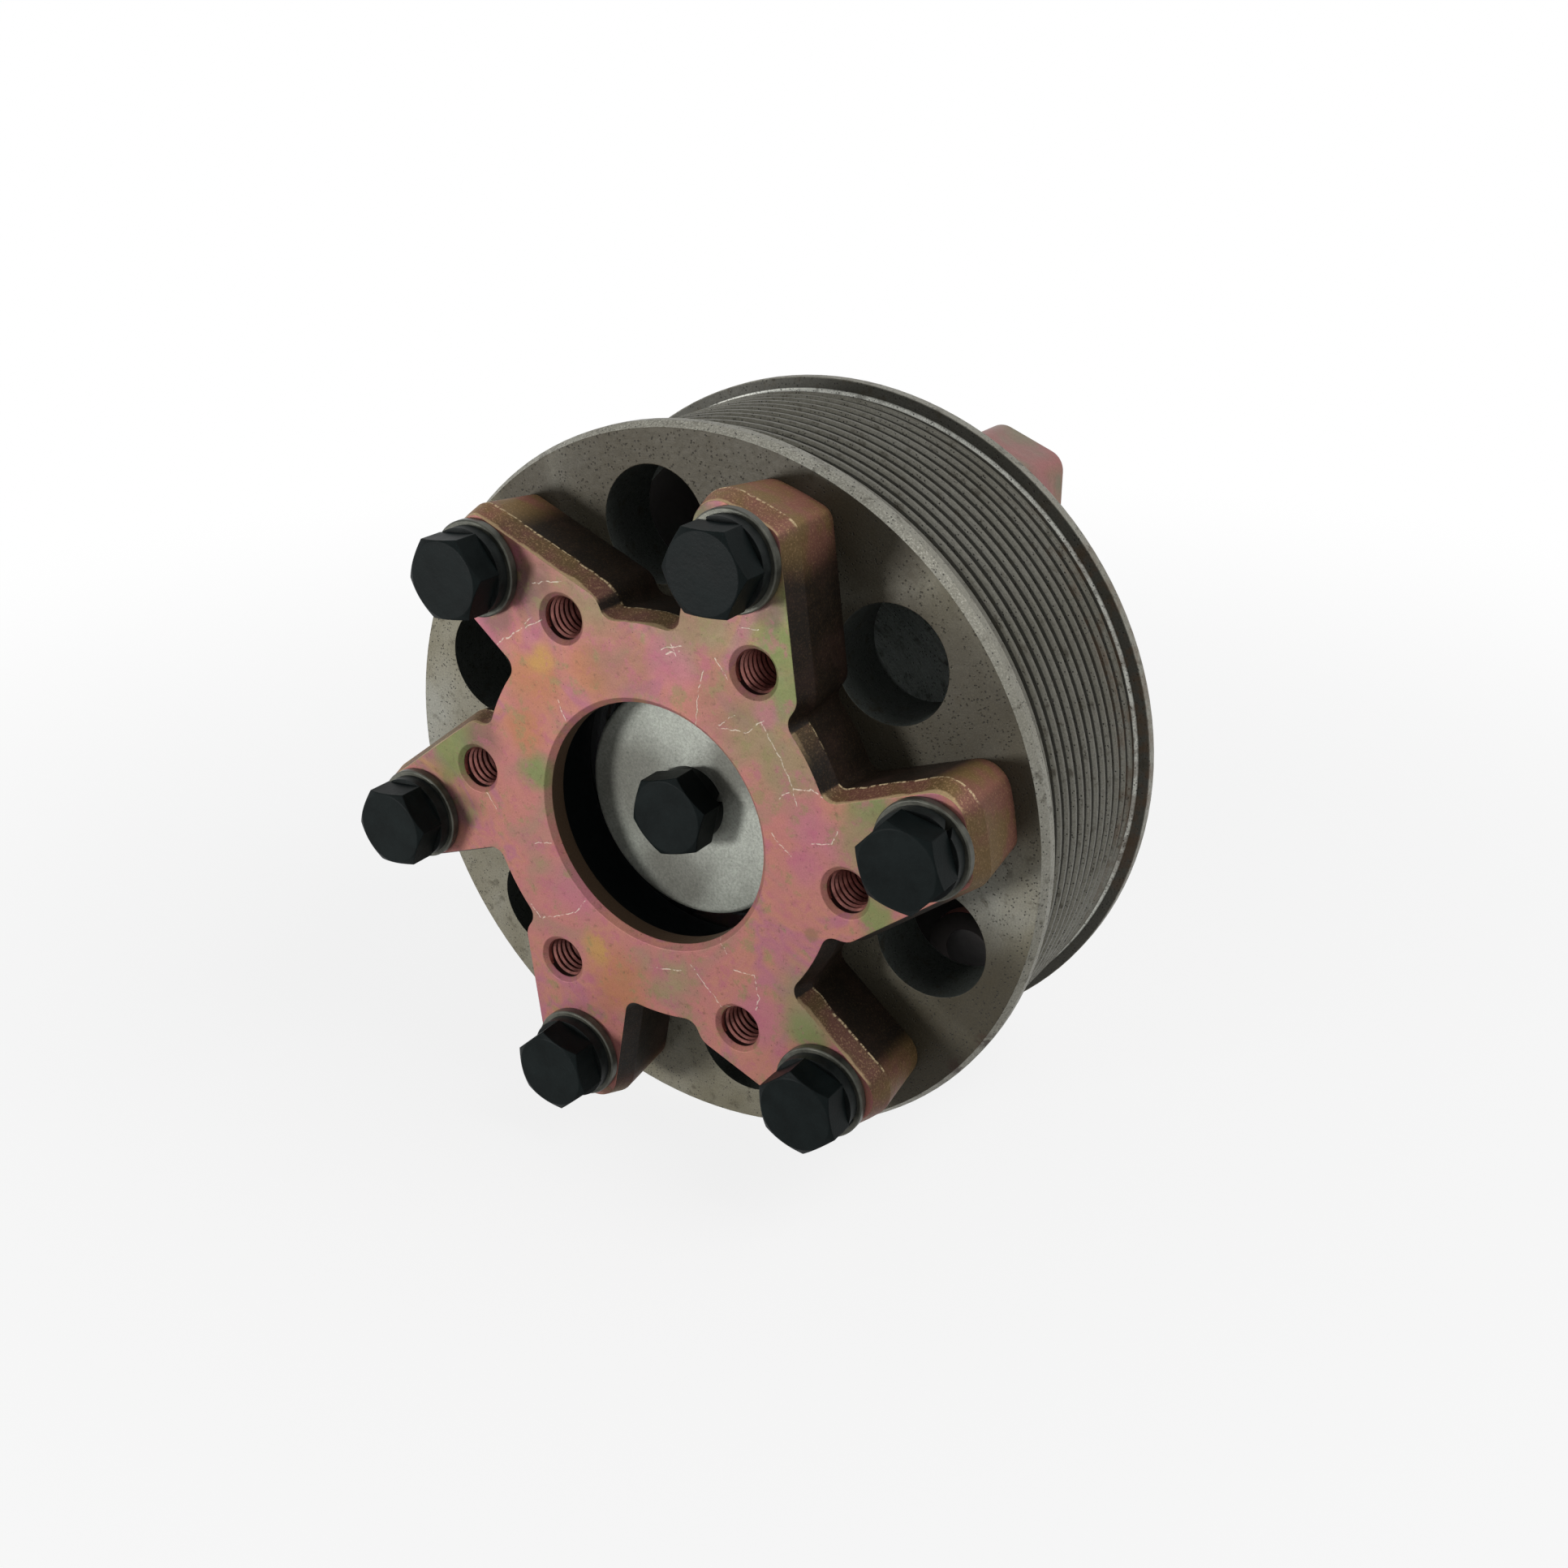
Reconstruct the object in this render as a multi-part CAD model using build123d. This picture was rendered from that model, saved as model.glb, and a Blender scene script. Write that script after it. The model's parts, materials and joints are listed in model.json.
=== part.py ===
from build123d import *
import os
from math import asin, atan2, cos, degrees, hypot, radians, sin, tan

# Fan pulley on a fixed spindle, in millimetres.
# The spindle axis is Y, the fan side looks along -Y and +Z is up.
# Heights in the functions below are measured along the axis, from the bracket's mounting face
# towards the fan. Radii are measured from the axis, and phases from +X towards +Z.

# Poly-V pulley
PULLEY_R = 77.5
PULLEY_WIDTH = 55.3
RIM_CHAMFER_R = 1.1
RIM_CHAMFER_LENGTH = 1.7
REAR_CHAMFER = 0.8
FRONT_LAND = 2.0
LAND_SLOPE = 2.3
FIRST_GROOVE = 9.4
CREST_DROP = 2.6
GROOVES = 12
GROOVE_PITCH = 3.6
GROOVE_CREST = 0.9
GROOVE_ANGLE = 40
GROOVE_ROOT = 0.8
FLANGE_SLOPE = 0.4
RIM_INNER_R = 70.0
HUB_OUTER_R = 43.5
WEB = 15.0
CAVITY_FILLET = 3.0
WINDOW_R = 12.15
WINDOW_CIRCLE_R = 57.2

# Fan adapter, a star whose arms are bolted to the web between its windows
ARMS = 6
ARM_PHASE = 10.4
ADAPTER_DEPTH = 18.7
VALLEY_R = 42.7
ARM_TIP_R = 71.6
BOLT_CIRCLE_R = 62.5
BOLT_BOSS_R = 10.0
ARM_SIDE_ANGLE = 9.3
TAPPED_LAG = 13.7
TAPPED_CIRCLE_R = 45.0
TAPPED_BOSS_R = 8.9
TAPPED_SIDE = 10.5
TAPPED_CHAMFER = 0.95
TIP_LEADING_FILLET = 6.0
TIP_TRAILING_FILLET = 3.5
BULGE_FILLET = 4.0
VALLEY_FILLET = 3.0
EDGE_DRAFT = 1.5
EDGE_DRAFT_DEPTH = 4.5
PILOT_R = 26.0
PILOT_LENGTH = 4.9
PILOT_CHAMFER = 1.2
ADAPTER_HOLLOW_R = 32.0
SPIGOT_LENGTH = 3.0
SPIGOT_CLEARANCE = 0.05

# M10 fasteners, threads at their pitch radius
BOLT_R = 5.0
THREAD_R = 4.51
BOLT_CLEARANCE = 0.5
HEAD_FLATS = 16.0
HEAD_HEIGHT = 6.4
HEAD_CHAMFER_ANGLE = 30
HEAD_FACE_INSET = 0.2
THREAD_END_CHAMFER = 1.0
FLAT_WASHER_R = 10.0
FLAT_WASHER_THICK = 2.0
FLAT_WASHER_BEVEL = 0.25
LOCK_WASHER_R = 9.0
CENTRE_WASHER_R = 8.0
LOCK_WASHER_THICK = 2.5
LOCK_WASHER_GAP = 1.6
LOCK_WASHER_SLANT = 30
WASHER_PLAY = 0.25
BOLT_ENGAGEMENT = 12.5
HOLE_RUNOUT = 1.0

# How far each tightened head happens to be turned from its arm, and the centre head from +X
HEAD_TURNS = [37, 51, 56, 55, 32, 29]
CENTRE_HEAD_TURN = 16

# Deep groove bearings, 30 x 72 x 19
SEAT_R = 15.0
BEARING_R = 36.0
BEARING_WIDTH = 19.0
BEARING_CHAMFER = 1.0
INNER_LAND_R = 22.3
OUTER_LAND_R = 29.6
BALLS = 8
BALL_R = 6.15
BALL_PLAY = 0.1
CAGE_WALL = 2.1
CAGE_BACK = 1.1
CAGE_FINGER = 3.0
SEAL_THICK = 1.2
SEAL_RECESS = 0.6
SEAL_GAP = 0.2
BEARING_SPACING = 5.5
SPACER_WALL = 4.0
SNAP_RING_WIDTH = 2.5
SNAP_RING_PLAY = 0.1
SNAP_GROOVE_DEPTH = 1.5
SNAP_RING_BAND = 5.0
SNAP_RING_OPENING = 30
SNAP_LUG_R = 2.9
SNAP_LUG_SINK = 0.9
SNAP_LUG_TURN = 4
SNAP_LUG_HOLE_R = 1.1
HUB_SHOULDER = 4.5
HUB_SHOULDER_STEP = 4.9
HUB_CLEARANCE = 1.0

# Spindle, retaining washer and bracket
SPINDLE_COLLAR_R = 21.5
SPINDLE_SHANK_R = 16.0
SPINDLE_CHAMFER = 1.0
SPINDLE_END_GAP = 0.5
SPINDLE_BACK_GAP = 1.0
RETAINER_R = 25.2
RETAINER_THICK = 6.0
RETAINER_ROUND = 1.0
RETAINER_BOSS_R = 20.5
RETAINER_SINK = 14.2
CENTRE_ENGAGEMENT = 20.0
PLATE = 12.0
REAR_GAP = 5.0
BRACKET_BOSS_R = 25.0
BRACKET_BOSS = 4.0
BRACKET_FRONT_R = 72.5
BRACKET_BACK_R = 65.0
BRACKET_HOLE_X = 35.2
BRACKET_HOLE_Z = 54.0
BRACKET_HOLE_R = 5.5
BRACKET_EAR_R = 10.0
BRACKET_EAR_HEIGHT = 15.0
BRACKET_RECESS_R = 50.0
BRACKET_RECESS = 1.5
CORNER_SIDE = 10.0
CORNER_RISE = 7.9
CORNER_RUN = 16.5
CORNER_SLOPE = 22
CORNER_FILLET = 4.5

# Heights that follow from the sizes above
PULLEY_BACK = PLATE + REAR_GAP
PULLEY_FRONT = PULLEY_BACK + PULLEY_WIDTH
ADAPTER_FRONT = PULLEY_FRONT + ADAPTER_DEPTH
REAR_BEARING = PULLEY_BACK + HUB_SHOULDER + HUB_CLEARANCE
REAR_BEARING_FRONT = REAR_BEARING + BEARING_WIDTH
FRONT_BEARING = REAR_BEARING_FRONT + BEARING_SPACING
FRONT_BEARING_FRONT = FRONT_BEARING + BEARING_WIDTH
RETAINER_FRONT = ADAPTER_FRONT - RETAINER_SINK
BALL_CIRCLE_R = (SEAT_R + BEARING_R) / 2
STEP = 360 / ARMS

# How far a cutter stands out of the solid that it cuts
CUT = 1.0

TO_ROW = Rot(90, 0, 0)


def turned(profile):
    """A solid of revolution about the axis, from (radius, height) pairs."""
    face = make_face(Polyline(*[(r, 0, z) for r, z in profile], close=True))
    return revolve(face, Axis.Z)


def ring(inner, outer, low, high):
    return turned([(inner, low), (outer, low), (outer, high), (inner, high)])


def bevelled_ring(inner, outer, low, high, bevel):
    """A ring with its two outer edges bevelled."""
    return turned([(inner, low), (outer - bevel, low), (outer, low + bevel),
                   (outer, high - bevel), (outer - bevel, high), (inner, high)])


def rod(radius, low, high):
    foot = (Align.CENTER, Align.CENTER, Align.MIN)
    return Pos(0, 0, low) * Cylinder(radius, high - low, align=foot)


def polar(radius, phase):
    return (radius * cos(radians(phase)), radius * sin(radians(phase)))


def spread(circle_r, phase, count=ARMS):
    """Places at even steps round the axis."""
    return [Pos(*polar(circle_r, phase + k * 360 / count)) for k in range(count)]


def groove_profile():
    """The outside of the pulley from its front land to its rear flange, with the belt grooves between."""
    crest_r = PULLEY_R - CREST_DROP
    opening = GROOVE_PITCH - GROOVE_CREST
    wall = (opening - GROOVE_ROOT) / 2
    root_r = crest_r - wall / tan(radians(GROOVE_ANGLE / 2))
    land_foot = PULLEY_FRONT - RIM_CHAMFER_LENGTH - FRONT_LAND
    points = [(PULLEY_R, land_foot), (crest_r, land_foot - LAND_SLOPE)]
    for k in range(GROOVES):
        high = PULLEY_FRONT - FIRST_GROOVE - k * GROOVE_PITCH
        low = high - opening
        points += [(crest_r, high), (root_r, high - wall), (root_r, low + wall), (crest_r, low)]
    return points + [(PULLEY_R, low - FLANGE_SLOPE)]


def pulley():
    """Turned iron pulley: grooved rim, web with windows, and hub bored for the bearings."""
    snap_low = FRONT_BEARING_FRONT
    snap_high = snap_low + SNAP_RING_WIDTH + SNAP_RING_PLAY
    groove_r = BEARING_R + SNAP_GROOVE_DEPTH
    shoulder_r = BEARING_R - HUB_SHOULDER_STEP
    web_back = PULLEY_FRONT - WEB
    bore = [(shoulder_r, PULLEY_BACK), (shoulder_r, REAR_BEARING), (BEARING_R, REAR_BEARING),
            (BEARING_R, snap_low), (groove_r, snap_low), (groove_r, snap_high),
            (BEARING_R, snap_high), (BEARING_R, PULLEY_FRONT)]
    rim = [(PULLEY_R - RIM_CHAMFER_R, PULLEY_FRONT), (PULLEY_R, PULLEY_FRONT - RIM_CHAMFER_LENGTH)]
    back = [(PULLEY_R, PULLEY_BACK + REAR_CHAMFER), (PULLEY_R - REAR_CHAMFER, PULLEY_BACK),
            (RIM_INNER_R, PULLEY_BACK), (RIM_INNER_R, web_back - CAVITY_FILLET),
            (RIM_INNER_R - CAVITY_FILLET, web_back), (HUB_OUTER_R + CAVITY_FILLET, web_back),
            (HUB_OUTER_R, web_back - CAVITY_FILLET), (HUB_OUTER_R, PULLEY_BACK)]
    body = turned(bore + rim + groove_profile() + back)
    for place in spread(WINDOW_CIRCLE_R, ARM_PHASE + STEP / 2):
        body -= place * rod(WINDOW_R, web_back - CAVITY_FILLET, PULLEY_FRONT + CUT)
    for place in spread(BOLT_CIRCLE_R, ARM_PHASE):
        body -= place * rod(THREAD_R, web_back - CAVITY_FILLET, PULLEY_FRONT + CUT)
    return body


def corners_at(outline, radius):
    """The corners of an outline that lie on a circle round the axis."""
    return outline.vertices().filter_by(lambda v: abs(hypot(v.X, v.Y) - radius) < 0.01)


def arm_outline():
    """One arm at phase 0: a radial side, a round tip, and a side that swells round the tapped hole."""
    bolt = Vector(BOLT_CIRCLE_R, 0)
    tapped = Vector(*polar(TAPPED_CIRCLE_R, -TAPPED_LAG))
    # the swollen side touches the circles round the tapped hole and round the bolt
    along = bolt - tapped
    lean = asin((BOLT_BOSS_R - TAPPED_BOSS_R) / along.length)
    side = Vector(*polar(1, degrees(atan2(along.Y, along.X) - lean) - 90))
    run = Vector(-side.Y, side.X)
    touch = tapped + side * TAPPED_BOSS_R
    # the short side runs parallel to the radius through the tapped hole
    out = Vector(*polar(1, -TAPPED_LAG))
    across = Vector(out.Y, -out.X)
    to_corner = (TAPPED_SIDE - (touch - tapped).dot(across)) / run.dot(across)
    corner = touch + run * to_corner
    beyond = ARM_TIP_R * 1.2
    inside = VALLEY_R * 0.8
    root = tapped + across * TAPPED_SIDE + out * (inside - TAPPED_CIRCLE_R)
    points = [polar(inside, ARM_SIDE_ANGLE), polar(beyond, ARM_SIDE_ANGLE),
              tuple(touch + run * (beyond - TAPPED_CIRCLE_R))[:2], tuple(corner)[:2], tuple(root)[:2]]
    arm = make_face(Polyline(*points, close=True)) & Circle(ARM_TIP_R)
    arm = fillet(corners_at(arm, ARM_TIP_R).sort_by(Axis.Y)[-1], TIP_LEADING_FILLET)
    arm = fillet(corners_at(arm, ARM_TIP_R).sort_by(Axis.Y)[0], TIP_TRAILING_FILLET)
    bulge = arm.vertices().sort_by_distance(corner)[0]
    return fillet(bulge, BULGE_FILLET)


def star_outline():
    star = Sketch() + Circle(VALLEY_R)
    for k in range(ARMS):
        star += Rot(0, 0, ARM_PHASE + k * STEP) * arm_outline()
    return fillet(corners_at(star, VALLEY_R), VALLEY_FILLET)


def countersunk(radius, low, chamfer_size):
    """Cutter for a hole that is chamfered where it comes out of the adapter's front."""
    return turned([(0, low), (radius, low), (radius, ADAPTER_FRONT - chamfer_size),
                   (radius + chamfer_size + CUT, ADAPTER_FRONT + CUT), (0, ADAPTER_FRONT + CUT)])


def fan_adapter():
    """Plated star that carries the fan, with a pilot bore and tapped holes in its front face."""
    edge = star_outline()
    crest = Pos(0, 0, ADAPTER_FRONT - EDGE_DRAFT_DEPTH) * offset(edge, EDGE_DRAFT).face()
    body = loft([crest, Pos(0, 0, ADAPTER_FRONT) * edge.face()], ruled=True)
    body += loft([Pos(0, 0, PULLEY_FRONT) * edge.face(), crest], ruled=True)
    body += rod(BEARING_R - SPIGOT_CLEARANCE, PULLEY_FRONT - SPIGOT_LENGTH, PULLEY_FRONT)
    pilot_low = ADAPTER_FRONT - PILOT_LENGTH
    body -= rod(ADAPTER_HOLLOW_R, PULLEY_FRONT - SPIGOT_LENGTH - CUT, pilot_low)
    body -= countersunk(PILOT_R, pilot_low - CUT, PILOT_CHAMFER)
    for place in spread(TAPPED_CIRCLE_R, ARM_PHASE - TAPPED_LAG):
        body -= place * countersunk(THREAD_R, PULLEY_FRONT - CUT, TAPPED_CHAMFER)
    for place in spread(BOLT_CIRCLE_R, ARM_PHASE):
        body -= place * rod(BOLT_R + BOLT_CLEARANCE, PULLEY_FRONT - CUT, ADAPTER_FRONT + CUT)
    return body


def hex_bolt(seat, length, thread_length):
    """A hexagon bolt whose head stands on the height seat, with its engaged thread at the tip."""
    corner_r = HEAD_FLATS / 2 / cos(radians(30))
    head = Pos(0, 0, seat) * extrude(RegularPolygon(corner_r, 6), HEAD_HEIGHT)
    top = seat + HEAD_HEIGHT
    face_r = HEAD_FLATS / 2 - HEAD_FACE_INSET
    outside = corner_r + CUT
    shoulder = top - (outside - face_r) * tan(radians(HEAD_CHAMFER_ANGLE))
    head &= turned([(0, seat), (outside, seat), (outside, shoulder), (face_r, top), (0, top)])
    tip = seat - length
    thread_top = tip + thread_length
    thread = turned([(0, tip), (THREAD_R - THREAD_END_CHAMFER, tip), (THREAD_R, tip + THREAD_END_CHAMFER),
                     (THREAD_R, thread_top), (0, thread_top)])
    return head + rod(BOLT_R, thread_top, seat) + thread


def lock_washer(outer, low):
    """A spring washer: a ring with a slanted cut."""
    washer = ring(BOLT_R + WASHER_PLAY, outer, low, low + LOCK_WASHER_THICK)
    cut = Box(outer, LOCK_WASHER_GAP, LOCK_WASHER_THICK * 3)
    middle = low + LOCK_WASHER_THICK / 2
    return washer - Pos(outer, 0, middle) * Rot(LOCK_WASHER_SLANT, 0, 0) * cut


def flat_washer(low):
    inner = BOLT_R + WASHER_PLAY
    return bevelled_ring(inner, FLAT_WASHER_R, low, low + FLAT_WASHER_THICK, FLAT_WASHER_BEVEL)


def raceway():
    return Torus(BALL_CIRCLE_R, BALL_R + BALL_PLAY)


def bearing(name, low):
    """Rings, balls, cage and two seals of one bearing that starts at the height low."""
    high = low + BEARING_WIDTH
    middle = (low + high) / 2
    at_middle = Pos(0, 0, middle)
    c = BEARING_CHAMFER
    inner = turned([(SEAT_R + c, low), (INNER_LAND_R, low), (INNER_LAND_R, high), (SEAT_R + c, high),
                    (SEAT_R, high - c), (SEAT_R, low + c)])
    outer = turned([(OUTER_LAND_R, low), (BEARING_R - c, low), (BEARING_R, low + c),
                    (BEARING_R, high - c), (BEARING_R - c, high), (OUTER_LAND_R, high)])
    cage = ring(BALL_CIRCLE_R - CAGE_WALL, BALL_CIRCLE_R + CAGE_WALL,
                middle - CAGE_FINGER, middle + BALL_R + BALL_PLAY + CAGE_BACK)
    nodes = {f"{name}_inner_ring": inner - at_middle * raceway(),
             f"{name}_outer_ring": outer - at_middle * raceway()}
    for k, place in enumerate(spread(BALL_CIRCLE_R, 0, BALLS), 1):
        cage -= at_middle * place * Sphere(BALL_R + BALL_PLAY)
        nodes[f"{name}_ball_{k}"] = at_middle * place * Sphere(BALL_R)
    nodes[f"{name}_cage"] = cage
    seal_r = INNER_LAND_R + SEAL_GAP
    rear, front = low + SEAL_RECESS, high - SEAL_RECESS
    nodes[f"{name}_rear_seal"] = ring(seal_r, OUTER_LAND_R, rear, rear + SEAL_THICK)
    nodes[f"{name}_front_seal"] = ring(seal_r, OUTER_LAND_R, front - SEAL_THICK, front)
    return nodes


def snap_ring():
    """Internal circlip that holds the front bearing, with its opening at the bottom."""
    outer = BEARING_R + SNAP_GROOVE_DEPTH - SNAP_RING_PLAY
    inner = outer - SNAP_RING_BAND
    low = FRONT_BEARING_FRONT
    high = low + SNAP_RING_WIDTH
    half_opening = SNAP_RING_OPENING / 2
    gap = Box(2 * outer * sin(radians(half_opening)), outer, SNAP_RING_WIDTH * 3)
    band = ring(inner, outer, low, high) - Pos(0, -outer, low) * gap
    lug_turn = half_opening + SNAP_LUG_TURN
    for phase in (-90 - lug_turn, -90 + lug_turn):
        place = Pos(*polar(inner + SNAP_LUG_R - SNAP_LUG_SINK, phase))
        band += place * rod(SNAP_LUG_R, low, high)
        band -= place * rod(SNAP_LUG_HOLE_R, low - CUT, high + CUT)
    return band


def spindle():
    """Fixed spindle with a collar for the rear bearing and a tapped hole for the centre bolt."""
    collar_low = PLATE + BRACKET_BOSS
    end = FRONT_BEARING_FRONT - SPINDLE_END_GAP
    c = SPINDLE_CHAMFER
    body = turned([(0, SPINDLE_BACK_GAP), (SPINDLE_SHANK_R - c, SPINDLE_BACK_GAP),
                   (SPINDLE_SHANK_R, SPINDLE_BACK_GAP + c), (SPINDLE_SHANK_R, collar_low),
                   (SPINDLE_COLLAR_R, collar_low), (SPINDLE_COLLAR_R, REAR_BEARING),
                   (SEAT_R, REAR_BEARING), (SEAT_R, end - c), (SEAT_R - c, end), (0, end)])
    return body - rod(THREAD_R, end - CENTRE_ENGAGEMENT - HOLE_RUNOUT, end + CUT)


def retaining_washer():
    """Thick round washer that clamps the bearings' inner rings on the spindle."""
    low = RETAINER_FRONT - RETAINER_THICK
    body = rod(RETAINER_R, low, RETAINER_FRONT)
    rim = body.edges().filter_by(GeomType.CIRCLE).group_by(Axis.Z)[-1]
    body = fillet(rim, RETAINER_ROUND)
    body += rod(RETAINER_BOSS_R, FRONT_BEARING_FRONT, low)
    return body - rod(BOLT_R + BOLT_CLEARANCE, FRONT_BEARING_FRONT - CUT, RETAINER_FRONT + CUT)


def bracket_corner():
    """The bracket's upper right ear, which runs out into a larger corner with a sloping top."""
    x, z = BRACKET_HOLE_X, BRACKET_HOLE_Z
    left, right = x - BRACKET_EAR_R, x + CORNER_SIDE
    shoulder = z + CORNER_RISE
    peak = (right - CORNER_RUN, shoulder + CORNER_RUN * tan(radians(CORNER_SLOPE)))
    corner = make_face(Polyline((left, 0), (left, shoulder), peak, (right, shoulder), (right, 0), close=True))
    return fillet(corner.vertices().filter_by(lambda v: v.Y > z), CORNER_FILLET)


def mounting_bracket():
    """Plated dish that covers the pulley's hollow, with the spindle's bore and an ear at each bolt hole."""
    body = turned([(0, 0), (BRACKET_BACK_R, 0), (BRACKET_FRONT_R, PLATE), (0, PLATE)])
    body += extrude(bracket_corner(), BRACKET_EAR_HEIGHT)
    ears = GridLocations(2 * BRACKET_HOLE_X, 2 * BRACKET_HOLE_Z, 2, 2)
    for place in ears:
        body += place * rod(BRACKET_EAR_R, 0, BRACKET_EAR_HEIGHT)
    body += rod(BRACKET_BOSS_R, PLATE, PLATE + BRACKET_BOSS)
    body -= ring(SPINDLE_COLLAR_R, BRACKET_RECESS_R, -CUT, BRACKET_RECESS)
    body -= rod(SPINDLE_SHANK_R, -CUT, PLATE + BRACKET_BOSS + CUT)
    for place in ears:
        body -= place * rod(BRACKET_HOLE_R, -CUT, BRACKET_EAR_HEIGHT + CUT)
    return body


def fasteners():
    """Bolt, lock washer and flat washer at each arm's tip."""
    nodes = {}
    flat_low = ADAPTER_FRONT
    lock_low = flat_low + FLAT_WASHER_THICK
    seat = lock_low + LOCK_WASHER_THICK
    length = seat - PULLEY_FRONT + BOLT_ENGAGEMENT
    for k in range(ARMS):
        phase = ARM_PHASE + k * STEP
        place = Pos(*polar(BOLT_CIRCLE_R, phase))
        turn = Rot(0, 0, phase + HEAD_TURNS[k])
        bolt = hex_bolt(seat, length, BOLT_ENGAGEMENT)
        nodes[f"adapter_bolt_{k + 1}"] = place * turn * bolt
        nodes[f"lock_washer_{k + 1}"] = place * turn * lock_washer(LOCK_WASHER_R, lock_low)
        nodes[f"flat_washer_{k + 1}"] = place * flat_washer(flat_low)
    return nodes


def model():
    nodes = {"mounting_bracket": mounting_bracket(), "spindle": spindle()}
    nodes |= bearing("rear_bearing", REAR_BEARING)
    nodes |= bearing("front_bearing", FRONT_BEARING)
    nodes["inner_spacer"] = ring(SEAT_R, SEAT_R + SPACER_WALL, REAR_BEARING_FRONT, FRONT_BEARING)
    outer_r = BEARING_R - SPACER_WALL
    nodes["outer_spacer"] = ring(outer_r, BEARING_R, REAR_BEARING_FRONT, FRONT_BEARING)
    nodes["snap_ring"] = snap_ring()
    nodes["pulley"] = pulley()
    nodes["fan_adapter"] = fan_adapter()
    nodes |= fasteners()
    nodes["retaining_washer"] = retaining_washer()
    turn = Rot(0, 0, CENTRE_HEAD_TURN)
    nodes["centre_lock_washer"] = turn * lock_washer(CENTRE_WASHER_R, RETAINER_FRONT)
    seat = RETAINER_FRONT + LOCK_WASHER_THICK
    length = seat - FRONT_BEARING_FRONT + SPINDLE_END_GAP + CENTRE_ENGAGEMENT
    bolt = hex_bolt(seat, length, CENTRE_ENGAGEMENT)
    nodes["centre_bolt"] = turn * bolt
    return nodes


os.makedirs("parts", exist_ok=True)
for node, shape in model().items():
    export_step(TO_ROW * shape, f"parts/{node}.step")
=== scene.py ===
import functools
import json
import math

import bpy
from mathutils import Matrix, Vector


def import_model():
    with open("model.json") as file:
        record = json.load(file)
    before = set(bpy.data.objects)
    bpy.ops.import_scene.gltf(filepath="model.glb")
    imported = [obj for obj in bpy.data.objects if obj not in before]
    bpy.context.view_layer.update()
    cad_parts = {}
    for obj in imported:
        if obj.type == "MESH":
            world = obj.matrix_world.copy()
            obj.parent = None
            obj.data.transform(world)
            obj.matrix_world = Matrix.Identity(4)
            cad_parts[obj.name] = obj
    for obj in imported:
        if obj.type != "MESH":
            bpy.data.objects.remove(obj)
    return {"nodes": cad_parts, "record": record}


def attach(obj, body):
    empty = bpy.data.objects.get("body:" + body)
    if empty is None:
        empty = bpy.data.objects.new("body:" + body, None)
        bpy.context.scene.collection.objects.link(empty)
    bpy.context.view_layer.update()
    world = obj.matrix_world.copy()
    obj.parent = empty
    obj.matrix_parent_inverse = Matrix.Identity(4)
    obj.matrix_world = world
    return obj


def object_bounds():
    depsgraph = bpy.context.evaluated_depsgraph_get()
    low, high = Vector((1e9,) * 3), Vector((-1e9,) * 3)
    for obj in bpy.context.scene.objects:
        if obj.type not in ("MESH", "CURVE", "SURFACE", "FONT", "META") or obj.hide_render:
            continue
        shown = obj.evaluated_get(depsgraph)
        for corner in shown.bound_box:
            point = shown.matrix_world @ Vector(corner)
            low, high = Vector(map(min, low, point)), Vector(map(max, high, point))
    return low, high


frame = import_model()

CAD_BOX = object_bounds()
MM_PER_M = 1000.0

# Places and sizes that the part's source also has, in millimetres; a height is measured from the
# rear face towards the fan
ADAPTER_FRONT = 91.0
PULLEY_FRONT = 72.3
CREST_R = 74.9
GROOVES_END = 20.56
ARM_PHASE = 10.4
ARMS = 6
TAPPED_LAG = 13.7
TAPPED_CIRCLE_R = 45.0
THREAD_R = 4.51
THREAD_CREST_R = 4.12
THREAD_PITCH = 1.5
LEDGE = 4.5
PILOT_DEPTH = 4.8
BRACKET_HOLE_X = 35.2
BRACKET_HOLE_Z = 54.0

# Millimetres and turns that only the looks need
RIM_FROM_R = 71.0
RIM_MARK_R = 77.0
WEB_BORE_DEPTH = 14.5
PILOT_PAINT_R = 33.0
TIPS_FROM_R = 63.0
BRACKET_PAINT_R = 75.0
BRACKET_HOLE_PAINT_R = 5.7
RIDGE_START = 0.5
RIDGE_TURNS = (0.9, 12.0)
RIDGE_SEGMENTS = 40


# Shader arithmetic

class Wire:
    """A shader value; arithmetic on it adds Math nodes."""

    def __init__(self, tree, socket):
        self.tree, self.socket = tree, socket

    def op(self, operation, *others):
        node = self.tree.nodes.new("ShaderNodeMath")
        node.operation = operation
        for slot, value in zip(node.inputs, (self, *others)):
            plug(self.tree, slot, value)
        return Wire(self.tree, node.outputs[0])

    def __add__(self, other):
        return self.op("ADD", other)

    def __radd__(self, other):
        return self.op("ADD", other)

    def __sub__(self, other):
        return self.op("SUBTRACT", other)

    def __rsub__(self, other):
        return (self * -1) + other

    def __mul__(self, other):
        return self.op("MULTIPLY", other)

    def lowest(self, other):
        return self.op("MINIMUM", other)

    def highest(self, other):
        return self.op("MAXIMUM", other)

    def size(self):
        return self.op("ABSOLUTE")

    def root(self):
        return self.op("SQRT")


def highest_of(wires):
    return functools.reduce(Wire.highest, wires)


def distance(dx, dz):
    return (dx * dx + dz * dz).root()


def plug(tree, slot, value):
    """Link a shader value or a socket to a slot, or set a constant on it."""
    if isinstance(value, Wire):
        tree.links.new(value.socket, slot)
    elif isinstance(value, bpy.types.NodeSocket):
        tree.links.new(value, slot)
    elif isinstance(value, (tuple, list)) and len(value) == 3 and slot.type == "RGBA":
        slot.default_value = (*value, 1.0)
    else:
        slot.default_value = value


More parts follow.
